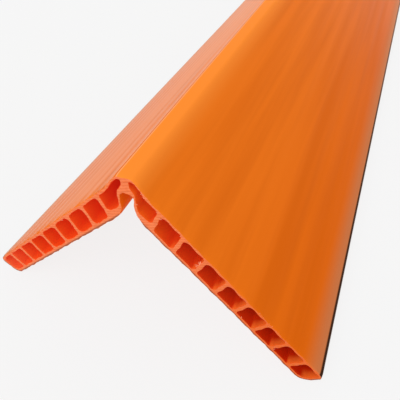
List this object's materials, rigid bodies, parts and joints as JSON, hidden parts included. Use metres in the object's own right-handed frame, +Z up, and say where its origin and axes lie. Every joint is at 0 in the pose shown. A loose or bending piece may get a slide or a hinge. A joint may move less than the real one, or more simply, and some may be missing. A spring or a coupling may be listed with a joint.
{
  "type": "plastic edge protector",
  "caption": "Hollow extruded corner profile with a flattened ridge and ribbed legs, laid over a load's edge so that lashing straps don't cut in.",
  "frame": {"origin": "middle of the floor under the two leg tips, halfway along the length", "axes": "+Y along the extruded length, +Z up through the ridge, +X across the section"},
  "size_m": [0.265, 0.8, 0.1427],
  "materials": {
    "orange_plastic": "satin, translucent in its thin walls"
  },
  "bodies": {
    "root": {"edge_profile": "orange_plastic"}
  },
  "joints": []
}
